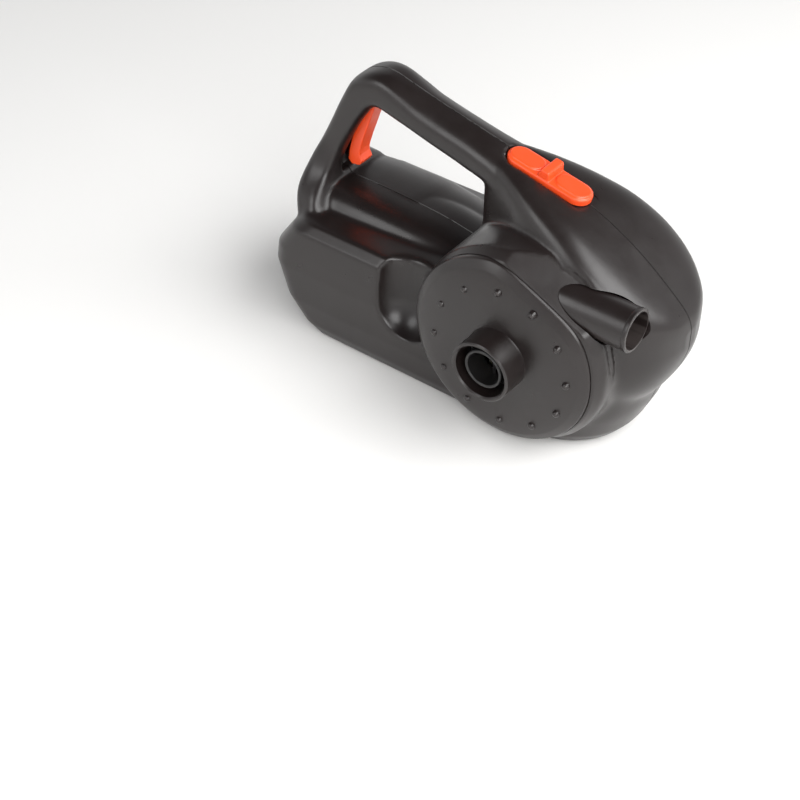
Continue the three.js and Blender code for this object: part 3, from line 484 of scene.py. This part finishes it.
def stationForm(name, stations, upper, lower):
    rings = []
    for x, bottom, top, half in between(stations, 5):
        ring = [superPoint(a, half, (top - bottom) / 2, upper, lower) for a in angles(96)]
        rings.append([(x, y, (top + bottom) / 2 + z) for y, z in ring])
    return loft(name, rings)


def shoulderForm():
    rings, middle = [], casing["shoulderMiddle"]
    for x, top, half in between(casing["shoulder"], 4):
        ring = [superPoint(math.pi / 2 * i / 32, half, top - middle, 3.2, 3.2) for i in range(33)]
        rings.append([(x, y, middle + z) for y, z in ring] + [(x, 0, middle)])
    return loft("shoulder", rings)


def handleForm():
    stops = between(casing["handle"], 6)
    rings = []
    for i, (x, z, half, thick) in enumerate(stops):
        before, after = stops[max(i - 1, 0)], stops[min(i + 1, len(stops) - 1)]
        along = Vector((after[0] - before[0], after[1] - before[1])).normalized()
        under = 3.4 - 1.6 * max(0, min(1, (x + 110) / 25))  # the grip is rounded off underneath
        ring = [superPoint(a, half, thick, 5.5, under) for a in angles(72)]
        rings.append([(x - along.y * t, y, z + along.x * t) for y, t in ring])
    return loft("handle", rings)


def roofTurn():
    # from a flat frame, with its x axis out of the roof, to the roof's place on the drum
    turn = math.radians(roof["turn"])
    along, up = roof["chord"] * math.cos(turn), roof["chord"] * math.sin(turn)
    edge = Matrix.Translation((cover["x"] + along, drum["front"], cover["z"] + up))
    slope = Matrix.Rotation(-math.radians(roof["slope"]), 4, "Z")
    return edge @ Matrix.Rotation(-turn, 4, "Y") @ slope


def aboveRoof(inset):
    above = block(-inset, -beyond, -beyond, beyond, beyond, beyond)
    above.data.transform(roofTurn())
    return above


def drumForm():
    r, back, front, shoulder = drum["radius"], drum["back"], drum["front"], drum["shoulder"]
    barrel = turned("barrel", [(0, front), (drum["lip"], front), (r, shoulder), (r, back), (0, back)], 160)
    grooves = []
    for y, deep in drum["grooves"]:
        y0, y1 = y - drum["grooveWide"] / 2, y + drum["grooveWide"] / 2
        ring = turned("groove", [(r + 2, y0), (r + 2, y1), (r - deep, y1 - 0.6), (r - deep, y0 + 0.6)], 160)
        grooves.append(combine(ring, "INTERSECT", block(8, -60, -10, 90, 0, 88)))
    return combine(barrel, "DIFFERENCE", aboveRoof(0), *grooves)


def ellipsoid(centre, size):
    arc = [(math.sin(math.pi * i / 24), -math.cos(math.pi * i / 24)) for i in range(25)]
    ball = turned("ball", [(abs(r) if 0 < i < 24 else 0, z) for i, (r, z) in enumerate(arc)], 64, (0, 0), "Z")
    ball.data.transform(Matrix.Translation(centre) @ Matrix.Diagonal((*size, 1)))
    return ball


def recessForm():
    z, r = recess["z"], recess["radius"]
    arc = [(r * math.sin(a), z - r * math.cos(a)) for a in [math.pi / 2 * i / 12 for i in range(13)]]
    top = z + recess["reach"]
    return turned("recess", [*arc, (r, top), (0, top)], 64, (recess["x"], recess["y"]), "Z")


def capsuleRing(length, width, middle=0, steps=16):
    r = width / 2
    ring = []
    for end in (1, -1):
        for i in range(steps + 1):
            a = math.pi * (i / steps - 0.5) + (0 if end > 0 else math.pi)
            ring.append((middle + end * (length / 2 - r) + r * math.cos(a), r * math.sin(a)))
    return ring


def capsule(length, width, z0, z1, middle=0):
    ring = capsuleRing(length, width, middle)
    return loft("capsule", [[(x, y, z) for x, y in ring] for z in (z0, z1)])


def coverOutline(inset, count=144):
    # a circle beside the fan axis, cut straight under the roof
    r, chord, turn = cover["radius"] - inset, roof["chord"] - inset, math.radians(roof["turn"])
    points = []
    for a in angles(count):
        reach = r
        facing = math.cos(a - turn)
        if facing > 0:
            reach = (r ** -cover["corner"] + (facing / chord) ** cover["corner"]) ** (-1 / cover["corner"])
        points.append((cover["x"] + reach * math.cos(a), cover["z"] + reach * math.sin(a)))
    return points


def sloped(piece):
    # from the slide switch's own flat frame to its place on the hood
    tilt = Matrix.Rotation(math.radians(slide["tilt"]), 4, "Y")
    piece.data.transform(Matrix.Translation((slide["x"], 0, slide["z"])) @ tilt)
    return piece


def pocket(longer, wider, z0, z1):
    # where the slide knob runs
    length, travel = slide["length"] + slide["travel"], slide["travel"]
    return sloped(capsule(length + longer, slide["width"] + wider, z0, z1, travel / 2))


def mouthForm():
    return plate("mouth", mouth["outline"], -mouth["half"], mouth["half"])


def makeSkin():
    skin = combine(baseForm(), "UNION", stationForm("hump", casing["hump"], 3, 3), shoulderForm())
    combine(skin, "DIFFERENCE", recessForm())
    hood = combine(stationForm("hood", casing["hood"], 5.5, 2.4), "DIFFERENCE", ellipsoid(**flank))
    combine(skin, "UNION", hood, handleForm(), drumForm())
    below = block(-beyond, -beyond, -beyond, beyond, beyond, casing["underside"])
    combine(skin, "DIFFERENCE", below, pocket(1.2, 1, -0.4, 20), mouthForm())
    print("casing forms joined:", len(skin.data.polygons), "faces")
    soften(skin, casing["voxel"], casing["softRounds"])
    easeHollows(skin)
    print("casing skin:", len(skin.data.polygons), "faces")
    return skin


def easeHollows(skin):
    for name, area in eased.items():
        group = skin.vertex_groups.new(name=name)
        for vert in skin.data.vertices:
            share = 1
            for value, (low, high) in zip(vert.co, (area["x"], area["y"], area["z"])):
                share *= max(0, min(1, (value - low) / area["fade"], (high - value) / area["fade"]))
            if share > 0:
                group.add([vert.index], share, "REPLACE")
        smooth = skin.modifiers.new(name, "SMOOTH")
        smooth.factor = 0.5
        smooth.iterations = area["rounds"]
        smooth.vertex_group = name
    settle(skin)
    skin.vertex_groups.clear()


def grooveSeam(skin):
    bm = bmesh.new()
    bm.from_mesh(skin.data)
    half = casing["grooveWide"] / 2
    for y in (-half, 0, half):
        near = [part for part in [*bm.verts, *bm.edges, *bm.faces] if isNear(part, y)]
        bmesh.ops.bisect_plane(bm, geom=near, plane_co=(0, y, 0), plane_no=(0, 1, 0), dist=0.02)
    bm.normal_update()
    for vert in bm.verts:
        if abs(vert.co.y) < 0.05:
            vert.co -= vert.normal * casing["grooveDeep"]
    bm.to_mesh(skin.data)
    bm.free()


def isNear(part, y, within=3):
    verts = [part] if isinstance(part, bmesh.types.BMVert) else part.verts
    return all(abs(v.co.y - y) < within for v in verts)


def cavityForm(skin):
    # the hollow of the casing: the skin moved in by the wall
    cavity = copyOf(skin, "cavity")
    coarse = cavity.modifiers.new("coarse", "REMESH")
    coarse.mode = "VOXEL"
    coarse.voxel_size = 2.2
    inward = cavity.modifiers.new("inward", "DISPLACE")
    inward.strength = -casing["wall"]
    inward.mid_level = 0
    settle(cavity)
    soften(cavity, 1.8, 1)
    return cavity


def casingHoles():
    # every hole through the half shells; the pocket and the mouth are cut a second time, to size
    half, hub = mouth["half"], mouth["hub"]
    hubRoom = rod("Y", -half, half, hub, hub, trigger["x"], trigger["z"])
    stemSlot = sloped(block(-3.8, -2.2, -12, 3.8 + slide["travel"], 2.2, 4))
    holes = [outletHole(0), mouthForm(), hubRoom, pocket(1, 0.8, -0.5, 9), stemSlot]
    for part in (jack, led):
        r = part["radius"] + clear
        holes.append(rod("X", -165, -144, r, r, part["y"], part["z"]))
    r = feet["radius"] + clear
    holes += [rod("Z", 0, feet["height"] + clear, r, r, x, y) for x, y in feet["places"].values()]
    front = plate("front", coverOutline(-0.35), -60, drum["seat"])
    inside = rod("Y", -60, drum["seat"] + 6, 44, 44, 0, fanZ - 3, 96)  # opens the drum behind the cover
    return [front, inside, *holes]


def outletHole(wall):
    r, y, z = outlet["root"] + clear, outlet["y"], outlet["z"]
    if wall:
        return rod("X", outlet["start"], outlet["through"], r + wall, r + wall, y, z, 64)
    return rod("X", 12, outlet["through"], r, r - 0.4, y, z, 96)


def makeCasing():
    skin = makeSkin()
    cavity = combine(cavityForm(skin), "DIFFERENCE", outletHole(casing["wall"]))
    grooveSeam(skin)
    combine(skin, "DIFFERENCE", cavity)
    combine(skin, "DIFFERENCE", *casingHoles())
    far = copyOf(skin, "far")
    combine(skin, "INTERSECT", block(-beyond, -beyond, -beyond, beyond, -seamGap / 2, beyond))
    combine(far, "INTERSECT", block(-beyond, seamGap / 2, -beyond, beyond, beyond, beyond))
    middle = (vents["count"] - 1) / 2
    cuts = [ventSlot(vents["pitch"] * (i - middle)) for i in range(vents["count"])]
    well, hole = screws["well"], screws["hole"]
    for x, z, depth in screws["places"].values():
        cuts.append(rod("Y", depth, 60, well, well + 0.3, x, z, 32))
        cuts.append(rod("Y", -1, depth + 1, hole, hole, x, z, 16))
    combine(far, "DIFFERENCE", *cuts)
    finishPiece(skin, "casing_near", "casing", "moulded_charcoal", "shell_near")
    finishPiece(far, "casing_far", "casing", "moulded_charcoal", "shell_far")
    print("casing halves:", len(skin.data.polygons), len(far.data.polygons), "faces")


def ventSlot(x):
    ring = capsuleRing(vents["length"], vents["width"], 0, 6)
    return plate("vent", [(x + v, vents["z"] + u) for u, v in ring], vents["inside"], vents["outside"])


# fan cover, intake and outlet
cover = {
    "x": -2.3, "z": 56, "radius": 51, "corner": 26, "seat": 16.7, "crown": 19.5,
    # inset from the outline and depth, round the wall of the cover
    "outside": [(0, -46.5), (0, -49.4), (0.25, -50), (0.8, -50.35), (4, -52.7), (5, -53.1), (11.5, -54.6),
                (23, -56)],
    "inside": [(23, -53.8), (11.5, -52.4), (5, -50.8), (2.2, -48.6), (2.2, -46.5)],
    "pimples": 12, "ring": 38.5, "ringZ": 55.2, "turn": 3.4,
}
collar = {
    "profile": [(14.2, -52.2), (14.2, -70.2), (14.9, -71), (15.8, -71), (16.4, -70.4), (16.4, -57.6),
                (16.7, -56.2), (17.4, -55), (18.5, -54.1), (19.5, -53.8), (19.5, -52.2)],
}
guard = {"inner": 9, "outer": 10.6, "rim": 13.9, "front": -68, "back": -55.2, "bar": 0.9}
scroll = {"start": 27.8, "end": 41.6, "tongue": 35, "wall": 2.2, "front": -45.8, "back": -24, "channel": 20.8}


def circle(radius, y, count=144):
    return [(radius * math.cos(a), y, fanZ + radius * math.sin(a)) for a in angles(count)]


def makeCover():
    rings = [[(x, y, z) for x, z in coverOutline(inset)] for inset, y in cover["outside"]]
    rings += [circle(cover["crown"], -56.3), circle(cover["seat"], -56.4), circle(cover["seat"], -54.2)]
    rings += [[(x, y, z) for x, z in coverOutline(inset)] for inset, y in cover["inside"]]
    piece = loft("cover", rings, closed=True)
    pimples = []
    for a in angles(cover["pimples"]):
        spot = a + math.radians(cover["turn"])
        x, z = cover["ring"] * math.cos(spot), cover["ringZ"] + cover["ring"] * math.sin(spot)
        profile = [(0, -53.6), (2.1, -53.6), (1.9, -54.8), (1.5, -55.6), (0.9, -56.15), (0, -56.3)]
        pimples.append(turned("pimple", profile, 20, (x, z)))
    combine(piece, "UNION", *pimples)
    finishPiece(piece, "fan_cover_shell", "casing", "moulded_charcoal", "fan_cover", sharp=40)


def makeIntake():
    piece = turned("collar", collar["profile"], 128)
    finishPiece(piece, "intake_collar_ring", "casing", "moulded_charcoal", "intake_collar", sharp=40)
    inner, outer, rimOut, front, y1 = (guard[key] for key in ("inner", "outer", "rim", "front", "back"))
    edge, bar, y0, reach = 0.4, guard["bar"], y1 - 2.6, rimOut - 0.3
    tube = turned("guard", [(inner, y1), (inner, front + edge), (inner + edge, front), (outer - edge, front),
                            (outer, front + edge), (outer, y1)])
    rim = turned("rim", [(rimOut - 1.2, y1), (rimOut - 1.2, y0), (rimOut, y0), (rimOut, y1)])
    across = block(-reach, y0, fanZ - bar, reach, y1, fanZ + bar)
    upright = block(-bar, y0 - 0.01, fanZ - reach, bar, y1 + 0.01, fanZ + reach)
    combine(tube, "UNION", rim, across, upright)
    finishPiece(tube, "intake_guard_cross", "casing", "black_plastic", "intake_guard")


def scrollOutline(grow):
    # a spiral from the tongue to the top, then the outlet channel
    points, steps = [], 72
    for i in range(steps + 1):
        angle = math.radians(scroll["tongue"] - (270 + scroll["tongue"]) * i / steps)
        radius = scroll["start"] + (scroll["end"] - scroll["start"]) * i / steps + grow
        points.append((radius * math.cos(angle), fanZ + radius * math.sin(angle)))
    high, low = outlet["z"] + outlet["bore"] + grow, outlet["z"] - outlet["bore"] - grow
    return points + [(scroll["channel"], high), (scroll["channel"], low)]


def makeFanHousing():
    y, z, end, r = outlet["y"], outlet["z"], outlet["mouth"], outlet["radius"]
    body = plate("volute", scrollOutline(scroll["wall"]), scroll["front"], scroll["back"])
    flange = rod("Y", scroll["front"], scroll["front"] + 2.2, 50.6, 50.6, 0, fanZ, 96)
    root, lip = outlet["root"], r + 0.25
    profile = [(0, 18.8), (root, 18.8), (root - 0.2, 27), (r, end - 2.4), (lip, end - 2), (lip, end - 0.4)]
    tube = turned("tube", [*profile, (r - 0.2, end), (0, end)], 96, (y, z), "X")
    scoop = rod("X", outlet["start"] - 3, 90, 16.6, 16.6, y, z, 64)
    dish = ellipsoid(flank["centre"], [v + 3 for v in flank["size"]])
    combine(flange, "UNION", body)
    combine(flange, "DIFFERENCE", aboveRoof(3.2), scoop, dish)
    combine(flange, "UNION", tube)
    channel = plate("channel", scrollOutline(0), scroll["front"] - 3, scroll["back"] - 2.4)
    combine(channel, "DIFFERENCE", aboveRoof(5.4))
    bore = rod("X", 14, end + 5, outlet["bore"], outlet["bore"] + 0.15, y, z, 96)
    combine(flange, "DIFFERENCE", channel, bore, rod("Y", -30, -20, 4.6, 4.6, 0, fanZ))
    screwHoles = [rod("Y", -30, -20, 1.8, 1.8, x, fanZ, 24) for x in (-12.5, 12.5)]
    combine(flange, "DIFFERENCE", *screwHoles)
    finishPiece(flange, "volute_and_outlet", "casing", "moulded_charcoal", "volute_housing")
    print("fan housing done")


# slide switch, trigger, screws, feet and charging jack
slide = {"x": -12, "z": 125.2, "tilt": 12, "length": 48, "width": 14.4, "travel": 4, "proud": 3.6, "thumb": 8,
         "pad": (19, 11), "padAt": 13.5}
trigger = {
    "x": -118.5, "z": 137, "half": 4.5, "hub": 4.2, "pin": 1.55,
    "outline": [(-115, 136), (-115.4, 127), (-118.6, 118), (-122.6, 107), (-124.8, 100), (-125, 96.5),
                (-123.4, 93.4), (-125.2, 90.6), (-130.4, 89.8), (-132.6, 92), (-132, 97.5), (-129.4, 107),
                (-125.6, 118), (-122.2, 128), (-122, 136)],
}
screws = {
    # x, z and depth of the seat
    "places": {"rear": (-127, 61, 9.5), "bottom": (-29.5, 9.5, 9.5), "front": (31, 10, 9.5),
               "nose": (57, 50, 9.5), "hood": (36, 98, 9.5), "handle": (-78, 135.3, 7.6)},
    "well": 3.5, "hole": 1.8, "head": 3, "shank": 1.5,
}
jack = {"y": 14, "z": 40, "radius": 5.5, "bore": 3.2, "face": -155.4, "inside": -142}
led = {"y": 28, "z": 40, "radius": 2, "face": -155, "inside": -142}
feet = {"radius": 6, "height": 2.1, "places": {"rear_near": (-118, -28), "rear_far": (-118, 28),
                                               "front_near": (12, -26), "front_far": (12, 28)}}


def domed(length, width, z0, z1, middle, edge):
    # a capsule with a rounded top edge
    rings = [(0, z0), (0, z1 - edge)]
    for i in range(1, 6):
        a = math.pi / 2 * i / 5
        rings.append((edge * (1 - math.cos(a)), z1 - edge * (1 - math.sin(a))))
    made = []
    for inset, z in rings:
        made.append([(x, y, z) for x, y in capsuleRing(length - 2 * inset, width - 2 * inset, middle)])
    return loft("domed", made)


def makeSlideSwitch():
    s = slide
    knob = domed(s["length"], s["width"], -0.1, s["proud"], 0, 1.1)
    pads = [domed(*s["pad"], s["proud"] - 1, s["proud"] + 0.9, side * s["padAt"], 0.8) for side in (-1, 1)]
    ends = s["width"] / 2 - 0.5
    bar = rounded([(-3.4, s["proud"] - 1), (3.4, s["proud"] - 1), (2.3, s["thumb"]), (-2.3, s["thumb"])], 0.9)
    thumb = plate("thumb", bar, -ends, ends)
    stem = block(-3, -1.6, -9.6, 3, 1.6, 1)
    combine(knob, "UNION", *pads, thumb, stem)
    soften(knob, 0.32, 3)
    finishPiece(sloped(knob), "slide_knob_cap", "slide_knob", "orange_plastic", "slide_switch_knob", sharp=60)


def makeTrigger():
    t = trigger
    lever = plate("lever", t["outline"], -t["half"], t["half"])
    combine(lever, "UNION", rod("Y", -t["half"], t["half"], t["hub"], t["hub"], t["x"], t["z"]))
    combine(lever, "DIFFERENCE", rod("Y", -6, 6, t["pin"], t["pin"], t["x"], t["z"]))
    soften(lever, 0.4, 5)
    combine(lever, "DIFFERENCE", rod("Y", -6, 6, t["pin"] + 0.05, t["pin"] + 0.05, t["x"], t["z"]))
    finishPiece(lever, "trigger_lever", "trigger", "orange_plastic", "trigger", sharp=60)


def makeScrews():
    for name, (x, z, depth) in screws["places"].items():
        seat, r, shank = depth + seamGap, screws["head"], screws["shank"]
        profile = [(0, -9.5), (shank * 0.6, -9.4), (shank, -8), (shank, seat), (r, seat), (r, seat + 0.9)]
        profile += [(r * math.cos(a), seat + 0.9 + 1.4 * math.sin(a)) for a in (0.3, 0.6, 0.9, 1.2)]
        screw = turned("screw", profile + [(0, seat + 2.3)], 40, (x, z))
        cross = [(1.8, 0.35), (0.35, 1.8)]
        slots = [block(x - a, seat + 0.9, z - b, x + a, seat + 4, z + b) for a, b in cross]
        combine(screw, "DIFFERENCE", *slots)
        finishPiece(screw, "screw_" + name, "casing", "steel", "casing_screw_" + name)


def makeFeet():
    r, h = feet["radius"], feet["height"]
    for name, (x, y) in feet["places"].items():
        profile = [(0, 0.25), (r - 2.6, 0.25), (r - 2.2, 0), (r - 0.9, 0), (r - 0.3, 0.35), (r, 0.9), (r, h),
                   (0, h)]
        piece = turned("foot", profile, 56, (x, y), "Z")
        finishPiece(piece, "rubber_foot_" + name, "casing", "rubber", "foot_" + name)


def makeCharging():
    r, hole, face, back = jack["radius"], jack["bore"], jack["face"], jack["inside"]
    rim = [(0, back), (r, back), (r, face + 0.5), (r - 0.5, face), (hole + 0.6, face), (hole, face + 0.6),
           (hole, back - 2.6), (1, back - 2.6), (1, face + 2.2), (0.7, face + 1.8), (0, face + 1.8)]
    socket = turned("socket", rim, 64, (jack["y"], jack["z"]), "X")
    finishPiece(socket, "charging_jack", "casing", "black_plastic", "charge_socket")
    r, face = led["radius"], led["face"]
    dome = [(0, led["inside"]), (r, led["inside"]), (r, face + 0.9), (r * 0.94, face + 0.5),
            (r * 0.7, face + 0.15), (0, face)]
    light = turned("lens", dome, 40, (led["y"], led["z"]), "X")
    finishPiece(light, "charge_light", "casing", "red_lens", "charge_led")


makeCasing()
makeCover()
makeIntake()
makeFanHousing()
makeSlideSwitch()
makeTrigger()
makeScrews()
makeFeet()
makeCharging()
print("pieces done")

# floor, light and camera
studio = {
    "floor": "#f4f3f1",
    "fibre": "#f6f5f3",
    "half": 3,  # half the floor's width, in metres
    "sky": "#3c3e41",  # overhead and behind, seen as the dark side of the gloss
    "horizon": "#ffffff",
    "skyStrength": 1.15,
    # place and size in metres, power in watts
    "lamps": {"key": ((0.9, -0.65, 0.85), 0.8, 11), "top": ((0.78, 0.2, 1.0), 0.9, 15),
              "fill": ((-0.5, -1.1, 0.9), 0.7, 5)},
    "aim": (0, 0, 0.06),
    "cameraAt": (0.3673, -0.5448, 0.5477),
    "azimuth": 37.5,
    "elevation": 41,
    "lens": 72,
}


def makeStudio():
    half = studio["half"]
    corners = [(-half, -half, 0), (half, -half, 0), (half, half, 0), (-half, half, 0)]
    floor = newPiece("floor", corners, [(0, 1, 2, 3)])
    material, tree, shader, place = newMaterial("matt white paper")  # a seamless sheet, soft and even
    fibre = addNode(tree, "ShaderNodeTexNoise", {"Vector": place, "Scale": 900})
    tone = mixColours(tree, fibre.outputs["Fac"], linear(studio["floor"]), linear(studio["fibre"]))
    tree.links.new(tone, shader.inputs["Base Color"])
    shader.inputs["Roughness"].default_value = 0.85
    floor.data.materials.append(material)
    world = bpy.data.worlds.new("studio")
    scene.world = world
    world.use_nodes = True
    tree = world.node_tree
    direction = addNode(tree, "ShaderNodeTexCoord").outputs["Generated"]
    up = addNode(tree, "ShaderNodeSeparateXYZ", {"Vector": direction})
    share = addNode(tree, "ShaderNodeMapRange", {"Value": up.outputs["Z"], "From Min": 0.1, "From Max": 0.75})
    tone = mixColours(tree, share.outputs[0], linear(studio["horizon"]), linear(studio["sky"]))
    backdrop = tree.nodes["Background"]
    tree.links.new(tone, backdrop.inputs["Color"])
    backdrop.inputs["Strength"].default_value = studio["skyStrength"]
    for name, (spot, size, power) in studio["lamps"].items():
        light = bpy.data.lights.new(name, "AREA")
        light.size = size
        light.energy = power
        lamp = bpy.data.objects.new(name, light)
        lamp.location = spot
        lamp.rotation_euler = (Vector(studio["aim"]) - Vector(spot)).to_track_quat("-Z", "Y").to_euler()
        scene.collection.objects.link(lamp)
    camera = bpy.data.objects.new("camera", bpy.data.cameras.new("camera"))
    camera.data.lens = studio["lens"]
    camera.location = studio["cameraAt"]
    a, e = math.radians(studio["azimuth"]), math.radians(studio["elevation"])
    back = Vector((math.sin(a) * math.cos(e), -math.cos(a) * math.cos(e), math.sin(e)))
    camera.rotation_euler = (-back).to_track_quat("-Z", "Y").to_euler()
    scene.collection.objects.link(camera)
    scene.camera = camera
    scene.view_settings.view_transform = "Standard"


makeStudio()
